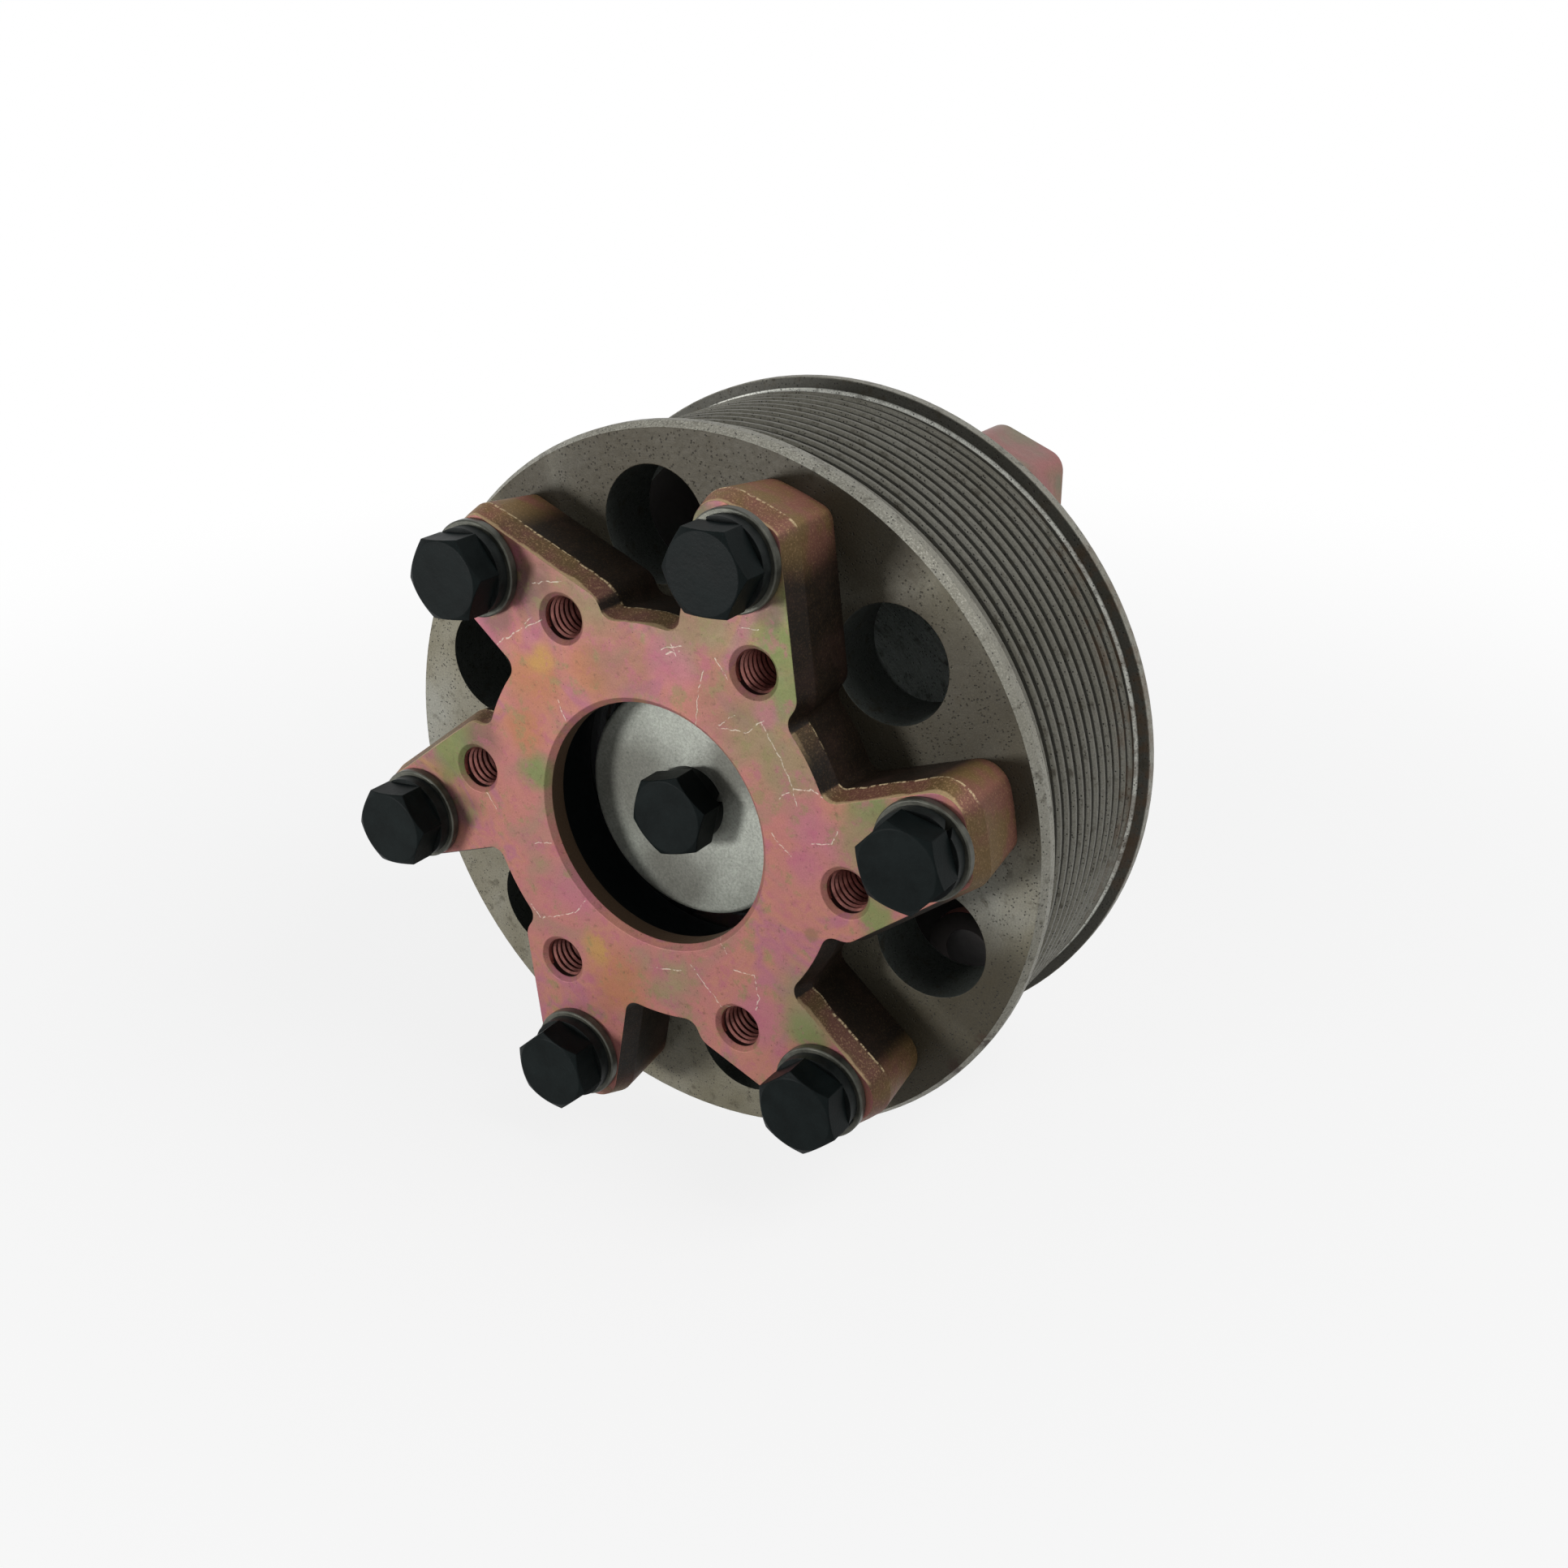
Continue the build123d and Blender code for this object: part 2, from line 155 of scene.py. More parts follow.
def srgb(r, g, b):
    """A linear colour from its 0-255 screen values."""
    shares = (r / 255, g / 255, b / 255)
    return tuple(c / 12.92 if c <= 0.04045 else ((c + 0.055) / 1.055) ** 2.4 for c in shares)


class Paint:
    """A material with its coordinates in millimetres of the object's own frame."""

    MIX_FACTOR, MIX_FIRST, MIX_SECOND, MIX_RESULT = 0, 6, 7, 2

    def __init__(self, name, specular=0.5):
        self.mat = bpy.data.materials.new(name)
        self.mat.use_nodes = True
        self.tree = self.mat.node_tree
        self.bsdf = self.tree.nodes["Principled BSDF"]
        self.bsdf.inputs["Specular IOR Level"].default_value = specular
        coord = self.tree.nodes.new("ShaderNodeTexCoord")
        scaled = self.tree.nodes.new("ShaderNodeVectorMath")
        scaled.operation = "SCALE"
        scaled.inputs["Scale"].default_value = MM_PER_M
        self.tree.links.new(coord.outputs["Object"], scaled.inputs[0])
        self.place = scaled.outputs[0]
        self.x, self.y, self.z = self.split(self.place)
        _, self.ny, self.nz = self.split(coord.outputs["Normal"])
        self.radius = distance(self.x, self.z)
        self.height = self.y * -1

    def split(self, socket):
        node = self.tree.nodes.new("ShaderNodeSeparateXYZ")
        self.tree.links.new(socket, node.inputs[0])
        return [Wire(self.tree, s) for s in node.outputs]

    def joined(self, x, y, z):
        node = self.tree.nodes.new("ShaderNodeCombineXYZ")
        for slot, value in zip(node.inputs, (x, y, z)):
            plug(self.tree, slot, value)
        return node.outputs[0]

    def noise(self, scale, detail=2.0, rough=0.5, at=None, distortion=0.0):
        node = self.tree.nodes.new("ShaderNodeTexNoise")
        self.tree.links.new(at or self.place, node.inputs["Vector"])
        node.inputs["Scale"].default_value = scale
        node.inputs["Detail"].default_value = detail
        node.inputs["Roughness"].default_value = rough
        node.inputs["Distortion"].default_value = distortion
        return Wire(self.tree, node.outputs["Fac"])

    def cells(self, scale):
        node = self.tree.nodes.new("ShaderNodeTexVoronoi")
        self.tree.links.new(self.place, node.inputs["Vector"])
        node.inputs["Scale"].default_value = scale
        return Wire(self.tree, node.outputs["Distance"])

    def step(self, value, low, high):
        """0 below low to 1 above high, smoothly; falls where low is above high."""
        node = self.tree.nodes.new("ShaderNodeMapRange")
        node.interpolation_type = "SMOOTHSTEP"
        for slot, given in zip(node.inputs, (value, low, high, 0.0, 1.0)):
            plug(self.tree, slot, given)
        return Wire(self.tree, node.outputs[0])

    def between(self, value, low, high, soft):
        return self.step(value, low - soft, low + soft) * self.step(value, high + soft, high - soft)

    def warp(self, amount, scale):
        """Shaken coordinates, so that no stroke is quite straight and no patch quite round."""
        self.wx = self.x + (self.noise(scale) - 0.5) * amount
        self.wz = self.z + (self.noise(scale, at=self.joined(self.z, self.x, self.y)) - 0.5) * amount

    def spot(self, x, z, radius, soft=0.6, shaken=False):
        """A soft patch about the axis-parallel line through (x, z), round unless it is shaken."""
        dx, dz = (self.wx - x, self.wz - z) if shaken else (self.x - x, self.z - z)
        return self.step(distance(dx, dz), radius * (1 + soft), radius * (1 - soft))

    def patches(self, places, soft):
        """The shaken spots at several (x, z, radius), as one mask."""
        return highest_of([self.spot(x, z, radius, soft, shaken=True) for x, z, radius in places])

    def stroke(self, x0, z0, x1, z1, width):
        """A thin line from (x0, z0) to (x1, z1) in the face plane, with a frayed edge."""
        run = Vector((x1 - x0, z1 - z0))
        length = run.length
        dx, dz = self.wx - x0, self.wz - z0
        along = ((dx * (run.x / length)) + (dz * (run.y / length))).highest(0.0).lowest(length)
        ex, ez = dx - along * (run.x / length), dz - along * (run.y / length)
        return self.step(distance(ex, ez), width, width * 0.25)

    def mix(self, factor, first, second, mode="MIX"):
        node = self.tree.nodes.new("ShaderNodeMix")
        node.data_type, node.blend_type = "RGBA", mode
        plug(self.tree, node.inputs[self.MIX_FACTOR], factor)
        plug(self.tree, node.inputs[self.MIX_FIRST], first)
        plug(self.tree, node.inputs[self.MIX_SECOND], second)
        return node.outputs[self.MIX_RESULT]

    def ramp(self, factor, stops):
        node = self.tree.nodes.new("ShaderNodeValToRGB")
        plug(self.tree, node.inputs[0], factor)
        elements = node.color_ramp.elements
        while len(elements) < len(stops):
            elements.new(0.5)
        for element, (where, colour) in zip(elements, stops):
            element.position, element.color = where, (*colour, 1.0)
        return node.outputs[0]

    def shade(self, colour, amount):
        """The colour times a value about 1."""
        grey = self.joined(amount, amount, amount)
        return self.mix(1.0, colour, grey, "MULTIPLY")

    def finish(self, colour, metallic, roughness, bumps, edge=0.0):
        """Bumps are (value, depth); the depths and the radius of the soft edges are in millimetres."""
        plug(self.tree, self.bsdf.inputs["Base Color"], colour)
        plug(self.tree, self.bsdf.inputs["Metallic"], metallic)
        plug(self.tree, self.bsdf.inputs["Roughness"], roughness)
        normal = None
        if edge:
            bevel = self.tree.nodes.new("ShaderNodeBevel")
            bevel.samples = 6
            bevel.inputs["Radius"].default_value = edge / MM_PER_M
            normal = bevel.outputs[0]
        for height, depth in bumps:
            node = self.tree.nodes.new("ShaderNodeBump")
            node.inputs["Strength"].default_value = 1.0
            node.inputs["Distance"].default_value = depth / MM_PER_M
            plug(self.tree, node.inputs["Height"], height)
            if normal is not None:
                self.tree.links.new(normal, node.inputs["Normal"])
            normal = node.outputs[0]
        self.tree.links.new(normal, self.bsdf.inputs["Normal"])
        return self.mat


def polar(radius, phase):
    return (radius * math.cos(math.radians(phase)), radius * math.sin(math.radians(phase)))


TAPPED = [polar(TAPPED_CIRCLE_R, ARM_PHASE - TAPPED_LAG + 360 / ARMS * k) for k in range(ARMS)]

# Tints of the star's plating: a colour, how strong it is, and patches of (x, z, radius)
GREEN = srgb(110, 130, 76)
OLIVE = srgb(128, 126, 90)
ORANGE = srgb(172, 116, 78)
YELLOW = srgb(178, 140, 76)
BROWN = srgb(134, 104, 84)
VIOLET = srgb(172, 104, 122)
SOOT = srgb(96, 80, 72)
FILM_PATCHES = [
    (GREEN, 0.85, [(31.0, 44.0, 7.0), (33.0, 35.0, 6.0), (49.0, 17.5, 5.0), (-52.0, 6.5, 8.0),
                   (-29.5, 6.0, 4.0), (35.5, 52.0, 8.0), (12.0, 64.0, 6.0), (36.5, -36.0, 5.0),
                   (52.0, -6.5, 4.0)]),
    (OLIVE, 0.7, [(25.0, 25.0, 7.0), (31.0, 20.0, 7.0), (8.0, 42.0, 6.0), (15.0, 45.0, 6.0),
                  (-13.0, 45.0, 6.0), (49.0, 8.0, 7.0), (36.0, -28.0, 6.0)]),
    (ORANGE, 0.7, [(-28.0, 26.0, 7.0), (-31.0, 15.0, 5.0), (-10.0, -38.0, 7.0), (-14.0, 31.0, 5.0)]),
    (YELLOW, 0.75, [(-15.5, -31.5, 3.5), (-27.0, 31.0, 3.0)]),
    (BROWN, 0.5, [(-6.0, 34.0, 9.0), (-22.0, 44.0, 8.0), (18.0, 31.0, 7.0), (10.0, 48.0, 6.0)]),
    (VIOLET, 0.6, [(38.0, 8.0, 5.0), (36.0, 1.0, 4.0), (27.0, 29.5, 2.5), (6.0, 36.0, 5.0),
                   (-40.0, 33.0, 5.0), (26.0, -36.0, 6.0), (-20.0, -20.0, 6.0)]),
    (SOOT, 0.6, [(-29.0, 46.0, 7.0), (-36.0, 38.0, 4.0), (27.0, 50.0, 3.0), (-50.0, -8.0, 4.0),
                 (-43.0, 11.0, 5.0), (14.0, 66.0, 5.0)]),
]

# Hairline scratches in the plated face: how wide, then the points (x, z) that each runs through
SCRATCHES = [
    (0.22, (26.5, 28.0), (30.5, 22.0), (33.5, 16.0), (37.5, 17.0), (41.5, 15.5)),
    (0.18, (33.5, 16.0), (30.0, 13.5)),
    (0.18, (33.5, 16.0), (34.0, 13.0)),
    (0.16, (27.0, 28.5), (23.0, 25.5), (16.5, 25.0)),
    (0.20, (4.0, 38.5), (8.5, 40.0)),
    (0.20, (5.0, 37.5), (8.0, 39.0)),
    (0.20, (6.0, 40.0), (7.0, 38.0)),
    (0.18, (-37.0, 32.0), (-31.0, 36.0), (-25.5, 39.0)),
    (0.16, (-31.0, 36.0), (-27.5, 39.5)),
    (0.16, (-27.0, 46.5), (-19.5, 48.0)),
    (0.18, (-32.5, -26.5), (-30.0, -29.0), (-20.5, -25.0), (-17.5, -21.5)),
    (0.15, (11.5, 24.0), (12.0, 30.0), (13.5, 36.0)),
    (0.16, (16.0, 39.0), (19.0, 35.5)),
    (0.17, (28.5, 6.0), (33.0, 2.0)),
    (0.17, (37.5, 6.0), (42.0, 7.0), (43.0, 10.0)),
    (0.17, (19.5, -27.0), (24.5, -26.5), (25.5, -31.5), (24.5, -34.5)),
    (0.17, (9.0, -29.0), (16.5, -36.5), (21.0, -35.5)),
    (0.16, (-43.0, -2.5), (-40.5, -5.5)),
    (0.16, (-31.0, -11.5), (-26.0, -10.0)),
    (0.14, (-22.0, 23.0), (-20.5, 18.5)),
    (0.16, (-1.5, -32.5), (6.5, -31.0)),
    (0.15, (15.0, -20.0), (18.0, -23.5)),
    (0.16, (16.5, 25.5), (20.5, 28.5)),
    (0.16, (21.5, 46.0), (26.0, 46.5)),
]

# A round stain on the star's face, patches of painted shade on the pulley's front face, marks on the
# pulley's front edge as (phase, radius), and patches of painted shadow on the disc in the bore
STAIN = (37.6, -13.6, 1.5)
FACE_SHADE_PATCHES = [(8.0, 72.0, 26.0), (38.0, 62.0, 16.0), (-18.0, 70.0, 23.0), (50.0, -50.0, 26.0),
               (64.0, -28.0, 16.0), (-42.0, 60.0, 12.0), (44.0, 44.0, 15.0), (50.0, 29.0, 29.0),
               (70.0, 18.0, 9.0), (62.0, 32.0, 9.0)]
RIM_MARKS = [(-37.0, 2.5), (-30.0, 2.0)]
DISC_SHADOW_PATCHES = [(-14.0, 1.0, 11.0), (-4.0, -18.0, 9.0), (10.0, 10.0, 7.0)]


# The pulley's iron

def belt_surface(p, colour, rim, outside, cloud, grain):
    """Ribs on a belt-worn rim, with painted shade on the crests, deep between the ribs and on the flange
    wall, and painted highlights along the last rib's rear edge and on the front chamfer, fading out towards
    +x.
    """
    worn = p.ramp(cloud, [(0.3, srgb(128, 125, 112)), (0.7, srgb(154, 152, 142))])
    colour = p.mix(rim, colour, worn)
    # painted shade: the crests darker than the walls
    crest = p.between(p.radius, CREST_R - 0.05, CREST_R + 0.5, 0.04) * rim
    colour = p.mix(crest * 0.8, colour, srgb(84, 82, 72))
    # painted shade deep between the ribs
    gap_shade = p.step(p.radius, CREST_R - 0.5, CREST_R - 0.75) * rim
    colour = p.mix(gap_shade * 0.85, colour, srgb(30, 29, 25))
    # painted highlight along the rear edge of the last rib
    last_edge_highlight = p.between(p.height, GROOVES_END, GROOVES_END + 0.26, 0.03)
    last_edge_highlight = last_edge_highlight * p.step(p.radius, CREST_R - 0.7, CREST_R - 0.5)
    colour = p.mix(last_edge_highlight * p.step(grain, 0.25, 0.45), colour, srgb(236, 236, 226))
    # painted shade on the flange wall
    flange_wall_shade = p.between(p.height, GROOVES_END - 0.34, GROOVES_END, 0.03) * outside
    colour = p.mix(flange_wall_shade * 0.85, colour, srgb(48, 47, 41))
    # painted highlight: bright speckles on the front chamfer that fade out towards +x
    chamfer = p.between(p.height, PULLEY_FRONT - 1.75, PULLEY_FRONT - 0.02, 0.03) * rim
    chamfer = chamfer * p.step(p.x, 84.0, 42.0) * p.step(grain, 0.46, 0.74)
    return p.mix(chamfer, colour, srgb(172, 170, 158))


def rust_and_nicks(p, colour, outside):
    """Rust in the last grooves on the right, and brown marks on the front edge."""
    low_right = p.step(p.x, 40.0, 70.0) * p.step(p.z, -45.0, -10.0) * outside
    rust = p.between(p.height, 17.0, 30.0, 3.0) * low_right * p.step(p.noise(0.22, 3.0, 0.6), 0.44, 0.62)
    colour = p.mix(rust * 0.5, colour, srgb(92, 68, 46))
    front_edge = p.step(p.height, PULLEY_FRONT - 6.0, PULLEY_FRONT - 1.0) * outside
    for phase, radius in RIM_MARKS:
        mark = front_edge * p.spot(*polar(RIM_MARK_R, phase), radius)
        mark = mark * p.step(p.noise(0.5, 3.0, 0.6), 0.4, 0.55)
        colour = p.mix(mark * 0.85, colour, srgb(52, 35, 24))
    return colour


def turned_iron():
    p = Paint("turned_iron", specular=0.25)
    angle = p.z.op("ARCTAN2", p.x)
    outside = p.step(p.radius, RIM_FROM_R, RIM_FROM_R + 1.0)
    facing = p.step(p.ny, -0.8, -0.95) * p.step(p.height, PULLEY_FRONT - 0.4, PULLEY_FRONT - 0.1)
    rim = outside * (1 - facing)
    hollow = (1 - outside) * (1 - facing)

    # oily olive and tan clouds on grey iron
    cloud = p.noise(0.035, 3.0, 0.55)
    colour = p.ramp(cloud, [
        (0.32, srgb(100, 94, 74)), (0.5, srgb(122, 118, 103)), (0.68, srgb(136, 135, 125))])
    p.warp(14.0, 0.05)
    # painted shade: dark patches on the front face beside the arms, and a darker painted reflection towards
    # the top and the lower right
    colour = p.mix(p.patches(FACE_SHADE_PATCHES, 0.6) * 0.88, colour, srgb(47, 41, 28))
    grain = p.noise(2.6, 3.0, 0.7)
    colour = belt_surface(p, colour, rim, outside, cloud, grain)
    # the cast hollows painted pale, a painted light for their dim inside, and the bores through the web
    # painted darker as painted shade
    web_bore = p.step(p.height, PULLEY_FRONT - WEB_BORE_DEPTH - 2.0, PULLEY_FRONT - WEB_BORE_DEPTH)
    colour = p.mix(hollow, colour, p.mix(web_bore, srgb(186, 192, 188), srgb(78, 82, 78)))

    # turning rings, pits and brown blots
    colour = p.shade(colour, grain * 1.25 + 0.38)
    rings = p.noise(1.0, 2.0, 0.6, at=p.joined(p.radius * 3.2, angle * 1.2, p.height * 3.2))
    colour = p.shade(colour, rings * (0.2 + hollow * 0.7) + (0.9 - hollow * 0.35))
    pits = p.step(p.cells(1.3), 0.3, 0.12) * p.step(p.noise(0.5, 1.0), 0.38, 0.5)
    colour = p.mix(pits * 0.85, colour, srgb(24, 23, 20))
    blots = p.step(p.noise(0.32, 4.0, 0.65), 0.54, 0.7)
    colour = p.mix(blots * 0.6, colour, srgb(60, 54, 40))
    colour = rust_and_nicks(p, colour, outside)
    rough = p.noise(0.8) * 0.2 + 0.4
    return p.finish(colour, 0.18, rough, [(grain, 0.035), (rings, 0.02), (pits * -1, 0.06)], edge=0.25)


# The star's zinc chromate plating

def film_face(p):
    """Thin-film colours with tinted patches, and dirt."""
    drift = p.noise(0.045, 3.0, 0.6, distortion=0.7)
    colour = p.ramp(drift, [
        (0.28, srgb(150, 128, 100)), (0.37, srgb(160, 118, 104)), (0.45, srgb(176, 114, 108)),
        (0.52, srgb(178, 120, 104)), (0.59, srgb(168, 106, 118)), (0.66, srgb(178, 126, 98)),
        (0.76, srgb(150, 134, 102))])
    p.warp(7.0, 0.11)
    for tint, strength, places in FILM_PATCHES:
        colour = p.mix(p.patches(places, 0.55) * strength, colour, tint)
    small = p.noise(0.2, 4.0, 0.72)
    colour = p.mix(p.step(small, 0.52, 0.68) * 0.5, colour, srgb(170, 92, 116))
    colour = p.mix(p.step(small, 0.46, 0.32) * 0.6, colour, srgb(132, 126, 84))
    dirt = p.step(p.noise(0.55, 4.0, 0.7), 0.56, 0.7)
    return p.mix(dirt * 0.4, colour, srgb(92, 68, 56))


def sawn_walls(p):
    """Walls painted dark, partly their own sawn and dirty surface and partly painted shade; painted light in
    bronze and pink at the tips and, on walls that face up, above the ledge, with painted glints there, and
    painted highlights along the ledge and the front edge of walls that face up.
    """
    broad = p.noise(0.09, 3.0, 0.6)
    # painted shade: dark base colours, partly the walls' own sawn and dirty surface
    wall = p.ramp(broad, [(0.3, srgb(15, 12, 8)), (0.5, srgb(26, 19, 13)), (0.7, srgb(44, 31, 26))])
    streak = p.noise(1.0, 3.0, 0.6, at=p.joined(p.x * 1.6, p.height * 0.25, p.z * 1.6))
    wall = p.shade(wall, streak * 1.2 + 0.4)
    # painted light goes on walls that face up
    lit_upward = p.step(p.nz, 0.45, 0.7)
    depth = ADAPTER_FRONT - p.height + (broad - 0.5) * 3
    band = p.step(depth, LEDGE + 0.6, LEDGE - 0.6)
    tips = p.step(p.radius, TIPS_FROM_R, TIPS_FROM_R + 7.0)
    glint_highlight = p.step(p.noise(2.4, 4.0, 0.75), 0.5, 0.68)
    tint = p.mix(p.step(broad, 0.4, 0.6), srgb(130, 104, 66), srgb(142, 94, 80))
    # painted light: bronze and pink above the ledge and at the tips
    wall = p.mix((band * lit_upward * 0.5).highest(tips * (lit_upward * 0.35 + 0.55)), wall, tint)
    # painted highlight: glints above the ledge and at the tips
    wall = p.mix(glint_highlight * (band * lit_upward * 0.4 + tips * 0.22 + 0.06), wall, srgb(206, 168, 124))
    # painted highlight along the ledge
    line = p.between(depth, LEDGE - 0.2, LEDGE + 0.2, 0.12) * lit_upward * p.step(streak, 0.42, 0.56)
    wall = p.mix(line * 0.8, wall, srgb(232, 208, 164))
    # painted highlight at the front edge
    lip_highlight = p.step(depth, 0.9, 0.4) * lit_upward
    return p.mix(lip_highlight * 0.5, wall, srgb(226, 196, 150))


def pilot_wall(p, wall):
    """The pilot bore's wall: brown, painted black in the hollow behind it as painted shade, and with a
    painted highlight at its mouth.
    """
    pilot = p.step(p.radius, PILOT_PAINT_R, PILOT_PAINT_R - 0.5)
    wall = p.mix(pilot, wall, srgb(84, 66, 50))
    # painted shade in the hollow behind the pilot wall
    behind = pilot * p.step(p.height, ADAPTER_FRONT - PILOT_DEPTH, ADAPTER_FRONT - PILOT_DEPTH - 0.3)
    wall = p.mix(behind, wall, srgb(16, 21, 22))
    # painted highlight at the mouth of the bore
    mouth = pilot * p.step(p.height, ADAPTER_FRONT - 1.3, ADAPTER_FRONT - 1.0)
    return p.mix(mouth * 0.7, wall, srgb(176, 164, 116))


def chromate():
    p = Paint("chromate_plate", specular=0.18)
    side = p.step(p.ny.size(), 0.75, 0.35)
    face = film_face(p)
    colour = p.mix(side, face, pilot_wall(p, sawn_walls(p)))

    grain = p.noise(3.0, 3.0, 0.7)
    colour = p.shade(colour, grain * (0.55 + side * 0.35) + (0.53 + side * 0.02))
    specks = p.step(p.cells(0.9), 0.17, 0.07) * p.step(p.noise(0.45, 1.0), 0.52, 0.6)
    colour = p.mix(specks * 0.6 * (1 - side), colour, srgb(60, 44, 40))
    threads = highest_of([p.step(distance(p.x - x, p.z - z), THREAD_R + 0.25, THREAD_R + 0.1)
                          for x, z in TAPPED])
    colour = p.mix(threads * side, colour, srgb(46, 30, 28))

    p.warp(1.3, 0.5)
    strokes = highest_of([p.stroke(*first, *second, width)
                          for width, *points in SCRATCHES for first, second in zip(points, points[1:])])
    strokes = strokes * (1 - side) * p.step(p.noise(1.4), 0.38, 0.58)
    colour = p.mix(strokes * 0.62, colour, srgb(206, 196, 180))
    stain = p.spot(*STAIN, soft=0.3) * (1 - side)
    colour = p.mix(stain * 0.55, colour, srgb(112, 92, 66))
    rough = p.noise(0.5, 3.0, 0.6) * 0.2 + 0.4 + side * 0.05
    bumps = [(grain * (1 + side * 2), 0.02), (p.noise(0.3), 0.10), (strokes * -1, 0.03)]
    return p.finish(colour, 0.3 - side * 0.2, rough, bumps, edge=0.3)


# Bolts, washers, the disc in the bore and the bracket

def black_oxide():
    p = Paint("black_oxide", specular=0.05)
    tone = p.noise(0.16, 3.0, 0.6)
    colour = p.ramp(tone, [(0.3, srgb(12, 17, 17)), (0.7, srgb(20, 26, 26))])
    fine = p.noise(1.8, 3.0, 0.6)
    colour = p.shade(colour, fine * 0.4 + 0.8)
    return p.finish(colour, 0.0, tone * 0.22 + 0.32, [(fine, 0.03), (tone, 0.1)], edge=0.35)


def spring_steel():
    p = Paint("dark_spring_steel", specular=0.1)
    tone = p.noise(0.4, 3.0, 0.6)
    colour = p.ramp(tone, [(0.3, srgb(17, 20, 20)), (0.7, srgb(34, 38, 37))])
    return p.finish(colour, 0.1, tone * 0.2 + 0.34, [(p.noise(2.4), 0.03)], edge=0.2)


def washer_steel():
    p = Paint("plain_washer_steel", specular=0.3)
    tone = p.noise(0.25, 3.0, 0.6)
    colour = p.ramp(tone, [(0.3, srgb(52, 53, 47)), (0.7, srgb(92, 92, 83))])
    fine = p.noise(3.0, 2.0, 0.6)
    colour = p.shade(colour, fine * 0.4 + 0.8)
    return p.finish(colour, 0.5, tone * 0.2 + 0.28, [(fine, 0.02)], edge=0.2)


def blasted_steel():
    p = Paint("blasted_steel", specular=0.3)
    cloud = p.noise(0.06, 3.0, 0.6)
    colour = p.ramp(cloud, [(0.32, srgb(134, 137, 128)), (0.68, srgb(166, 169, 160))])
    p.warp(8.0, 0.09)
    # painted shadow: dark patches on the disc where the edges of the bore and the centre bolt shade it
    for place in DISC_SHADOW_PATCHES:
        colour = p.mix(p.spot(*place, shaken=True) * 0.75, colour, srgb(80, 78, 70))
    grain = p.noise(1.8, 4.0, 0.75)
    colour = p.shade(colour, grain * 1.5 + 0.25)
    specks = p.step(p.cells(1.3), 0.2, 0.08) * p.step(p.noise(0.7, 1.0), 0.5, 0.6)
    colour = p.mix(specks * 0.6, colour, srgb(52, 52, 48))
    return p.finish(colour, 0.3, grain * 0.2 + 0.42, [(grain, 0.03), (specks * -1, 0.03)], edge=0.2)


def bracket_plate():
    p = Paint("bracket_plate", specular=0.3)
    drift = p.noise(0.05, 2.5, 0.55, distortion=0.5)
    colour = p.ramp(drift, [
        (0.3, srgb(124, 130, 94)), (0.42, srgb(160, 114, 104)), (0.52, srgb(174, 112, 108)),
        (0.62, srgb(158, 118, 98)), (0.72, srgb(122, 124, 94))])
    grain = p.noise(2.4, 3.0, 0.65)
    colour = p.shade(colour, grain * 0.55 + 0.48)
    # painted near black as painted shade where it faces into the pulley and in its bolt holes
    shaded_inside = p.step(p.radius, BRACKET_PAINT_R, BRACKET_PAINT_R - 0.6) * p.step(p.ny, -0.3, -0.7)
    for x in (-BRACKET_HOLE_X, BRACKET_HOLE_X):
        for z in (-BRACKET_HOLE_Z, BRACKET_HOLE_Z):
            shaded_inside = shaded_inside.highest(p.spot(x, z, BRACKET_HOLE_PAINT_R, soft=0.02))
    colour = p.mix(shaded_inside * 0.97, colour, srgb(20, 22, 21))
    rough = drift * 0.2 + shaded_inside * 0.3 + 0.34
    bumps = [(grain, 0.03), (p.noise(0.25), 0.15)]
    return p.finish(colour, 0.3 - shaded_inside * 0.3, rough, bumps, edge=0.3)


# Bearings, spindle and seals

def ground_steel(name, low, high, roughness):
    p = Paint(name)
    around = p.noise(1.0, 2.0, 0.6, at=p.joined(p.radius * 4.0, p.height * 4.0, 0.0))
    colour = p.mix(around, low, high)
    return p.finish(colour, 0.9, around * 0.12 + roughness, [(around, 0.01)])


def rubber():
    p = Paint("seal_rubber")
    fine = p.noise(2.0, 3.0, 0.6)
    colour = p.mix(fine, srgb(18, 18, 18), srgb(38, 38, 38))
    return p.finish(colour, 0.0, fine * 0.2 + 0.5, [(fine, 0.03)])


def nylon():
    p = Paint("cage_nylon")
    cloud = p.noise(0.3, 3.0, 0.6)
    colour = p.mix(cloud, srgb(206, 196, 160), srgb(226, 218, 190))
    return p.finish(colour, 0.0, cloud * 0.2 + 0.4, [(p.noise(2.0), 0.02)])


LOOKS = {
    "pulley_iron": turned_iron(),
    "chromate_steel": chromate(),
    "bracket_steel": bracket_plate(),
    "black_bolt_steel": black_oxide(),
    "spring_steel": spring_steel(),
    "plain_washer_steel": washer_steel(),
    "retainer_steel": blasted_steel(),
    "seal_rubber": rubber(),
    "cage_plastic": nylon(),
    "bearing_steel": ground_steel("bearing_steel", srgb(190, 192, 194), srgb(214, 216, 218), 0.12),
    "spindle_steel": ground_steel("spindle_steel", srgb(150, 152, 152), srgb(178, 180, 180), 0.26),
}
for part in frame["record"]["subparts"]:
    node = frame["nodes"][part["node"]]
    node.data.materials.clear()
    node.data.materials.append(LOOKS[part["material_slot"]])


# Thread ridges in the six tapped holes

def thread_metal():
    p = Paint("cut_thread")
    tone = p.noise(0.35, 3.0, 0.6)
    colour = p.ramp(tone, [(0.3, srgb(104, 66, 60)), (0.6, srgb(166, 108, 100)), (0.8, srgb(206, 150, 134))])
    return p.finish(colour, 0.6, tone * 0.2 + 0.24, [(p.noise(2.0), 0.01)])


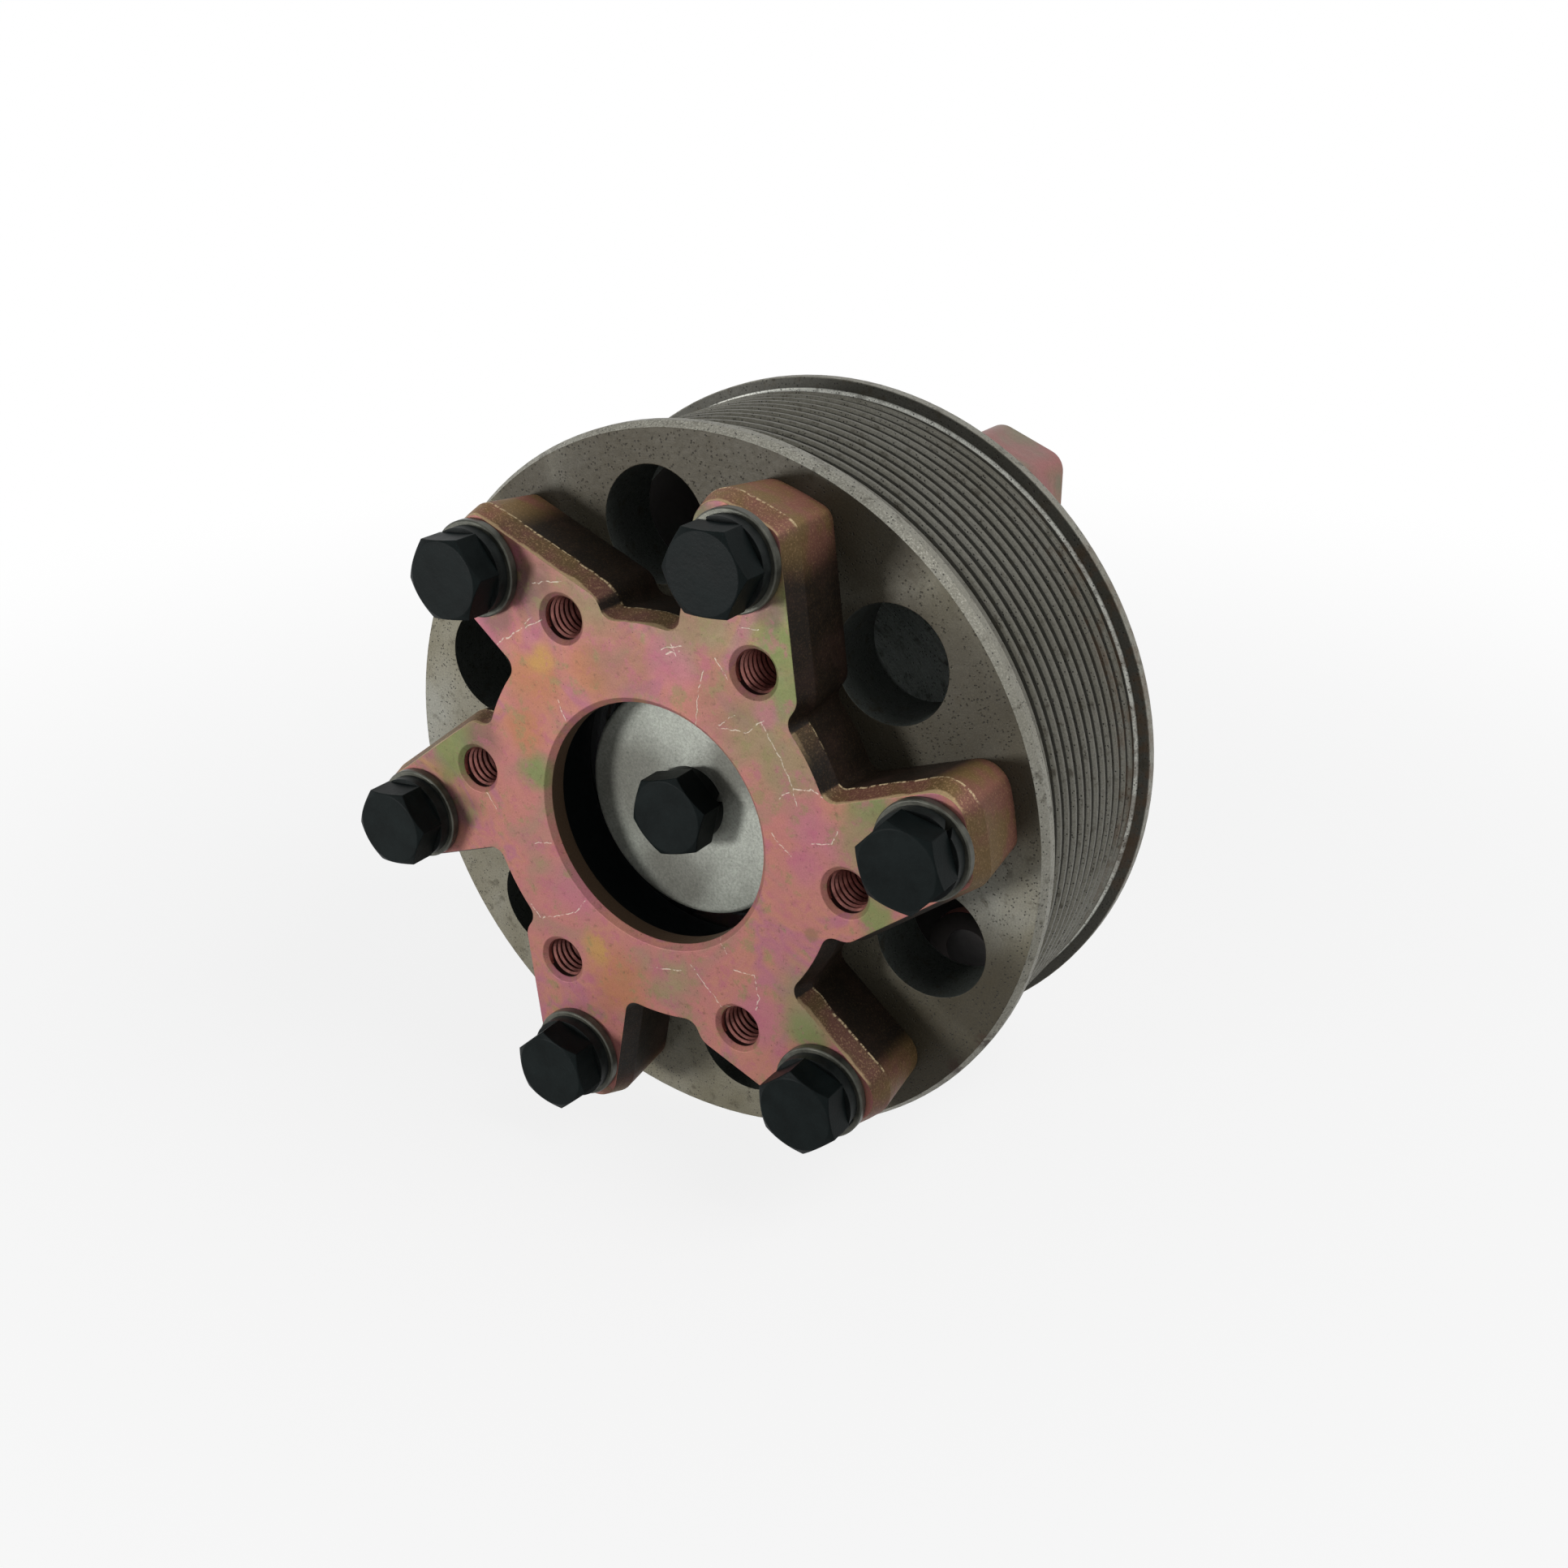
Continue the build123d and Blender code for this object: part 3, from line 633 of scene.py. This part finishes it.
def thread_ridge(name, x, z, material):
    """A right-handed helical ridge on the wall of the hole at (x, z)."""
    turns_from, turns_to = RIDGE_TURNS
    count = int((turns_to - turns_from) * RIDGE_SEGMENTS)
    half = THREAD_PITCH * 0.40
    flat = THREAD_PITCH * 0.09
    foot = THREAD_R + 0.03
    vertices, faces = [], []
    for i in range(count + 1):
        turn = turns_from + i / RIDGE_SEGMENTS
        angle = 2 * math.pi * (turn + RIDGE_START)
        height = ADAPTER_FRONT - turn * THREAD_PITCH
        # the ridge grows over half a turn at the chamfer and fades over half a turn at the far end
        rise = min(1.0, i / (RIDGE_SEGMENTS * 0.5), (count - i) / (RIDGE_SEGMENTS * 0.5))
        crest = THREAD_R - (THREAD_R - THREAD_CREST_R) * rise
        for radius, offset in ((foot, half), (crest, flat), (crest, -flat), (foot, -half)):
            point = (x + radius * math.cos(angle), -(height + offset), z - radius * math.sin(angle))
            vertices.append([value / MM_PER_M for value in point])
        if i:
            base = 4 * i
            for k in range(3):
                faces.append((base - 4 + k, base - 3 + k, base + 1 + k, base + k))
    faces.append((0, 1, 2, 3))
    faces.append((4 * count + 3, 4 * count + 2, 4 * count + 1, 4 * count))
    mesh = bpy.data.meshes.new(name)
    mesh.from_pydata(vertices, [], faces)
    mesh.update()
    for polygon in mesh.polygons:
        polygon.use_smooth = False
    mesh.materials.append(material)
    piece = bpy.data.objects.new(name, mesh)
    bpy.context.scene.collection.objects.link(piece)
    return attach(piece, "pulley")


cut = thread_metal()
for k, (x, z) in enumerate(TAPPED, 1):
    thread_ridge(f"thread_ridge_{k}", x, z, cut)


# Floor, light and camera, in metres

FLOOR_HALF = 12.0
FADE_FROM, FADE_TO = 0.12, 0.55
NEAR_WHITE = 0.84


def seen_white(tree):
    """1 for camera, glossy and transmission rays."""
    path = tree.nodes.new("ShaderNodeLightPath")
    return highest_of([Wire(tree, path.outputs[name])
                       for name in ("Is Camera Ray", "Is Glossy Ray", "Is Transmission Ray")])


def floor():
    """A pale floor that is seen as white, shows the shadow near the object and fades out beyond it."""
    bottom = CAD_BOX[0][2]
    mesh = bpy.data.meshes.new("floor")
    corners = [(-FLOOR_HALF, -FLOOR_HALF), (FLOOR_HALF, -FLOOR_HALF), (FLOOR_HALF, FLOOR_HALF),
               (-FLOOR_HALF, FLOOR_HALF)]
    mesh.from_pydata([(x, y, bottom) for x, y in corners], [], [(0, 1, 2, 3)])
    mat = bpy.data.materials.new("pale_floor")
    mat.use_nodes = True
    tree = mat.node_tree
    matte = tree.nodes["Principled BSDF"]
    matte.inputs["Base Color"].default_value = (0.82, 0.82, 0.82, 1.0)
    matte.inputs["Roughness"].default_value = 0.9
    matte.inputs["Specular IOR Level"].default_value = 0.1
    coord = tree.nodes.new("ShaderNodeTexCoord")
    away = tree.nodes.new("ShaderNodeVectorMath")
    away.operation = "LENGTH"
    tree.links.new(coord.outputs["Object"], away.inputs[0])
    fade = tree.nodes.new("ShaderNodeMapRange")
    fade.interpolation_type = "SMOOTHSTEP"
    for slot, value in zip(fade.inputs, (away.outputs["Value"], FADE_FROM, FADE_TO, NEAR_WHITE, 1.0)):
        plug(tree, slot, value)
    glow = tree.nodes.new("ShaderNodeEmission")
    glow.inputs["Strength"].default_value = 1.0
    blend = tree.nodes.new("ShaderNodeMixShader")
    plug(tree, blend.inputs[0], seen_white(tree) * fade.outputs[0])
    tree.links.new(matte.outputs[0], blend.inputs[1])
    tree.links.new(glow.outputs[0], blend.inputs[2])
    tree.links.new(blend.outputs[0], tree.nodes["Material Output"].inputs["Surface"])
    mesh.materials.append(mat)
    piece = bpy.data.objects.new("floor", mesh)
    bpy.context.scene.collection.objects.link(piece)


def world():
    """A dim, slightly blue room light that is seen as white."""
    made = bpy.data.worlds.new("studio")
    bpy.context.scene.world = made
    made.use_nodes = True
    tree = made.node_tree
    ambient = tree.nodes["Background"]
    ambient.inputs["Color"].default_value = (0.96, 0.98, 1.0, 1.0)
    ambient.inputs["Strength"].default_value = 0.22
    white = tree.nodes.new("ShaderNodeBackground")
    white.inputs["Strength"].default_value = 1.0
    white.inputs["Color"].default_value = (1.0, 1.0, 1.0, 1.0)
    blend = tree.nodes.new("ShaderNodeMixShader")
    plug(tree, blend.inputs[0], seen_white(tree))
    tree.links.new(ambient.outputs[0], blend.inputs[1])
    tree.links.new(white.outputs[0], blend.inputs[2])
    tree.links.new(blend.outputs[0], tree.nodes["World Output"].inputs["Surface"])


def lamp(name, place, target, size, power):
    data = bpy.data.lights.new(name, "AREA")
    data.shape, data.size, data.energy = "DISK", size, power
    piece = bpy.data.objects.new(name, data)
    bpy.context.scene.collection.objects.link(piece)
    piece.location = place
    piece.rotation_euler = (Vector(target) - Vector(place)).to_track_quat("-Z", "Y").to_euler()


def camera():
    """The camera fitted to the photo."""
    right = Vector((0.8496, 0.5274, 0.0))
    up = Vector((-0.2137, 0.3442, 0.9143))
    back = Vector((0.4822, -0.7768, 0.4051))
    place = (0.1924, -0.3504, 0.1521)
    data = bpy.data.cameras.new("camera")
    data.sensor_width, data.lens = 36.0, 40.84
    data.clip_start = 0.01
    piece = bpy.data.objects.new("camera", data)
    bpy.context.scene.collection.objects.link(piece)
    piece.matrix_world = Matrix.Translation(place) @ Matrix((right, up, back)).transposed().to_4x4()
    bpy.context.scene.camera = piece


floor()
world()
lamp("key", place=(-0.34, -0.72, 0.0), target=(0.0, -0.08, 0.0), size=0.14, power=3.5)
lamp("side", place=(0.42, -0.02, 0.48), target=(0.0, -0.04, 0.0), size=0.4, power=1.6)
camera()
bpy.context.scene.view_settings.view_transform = "Standard"
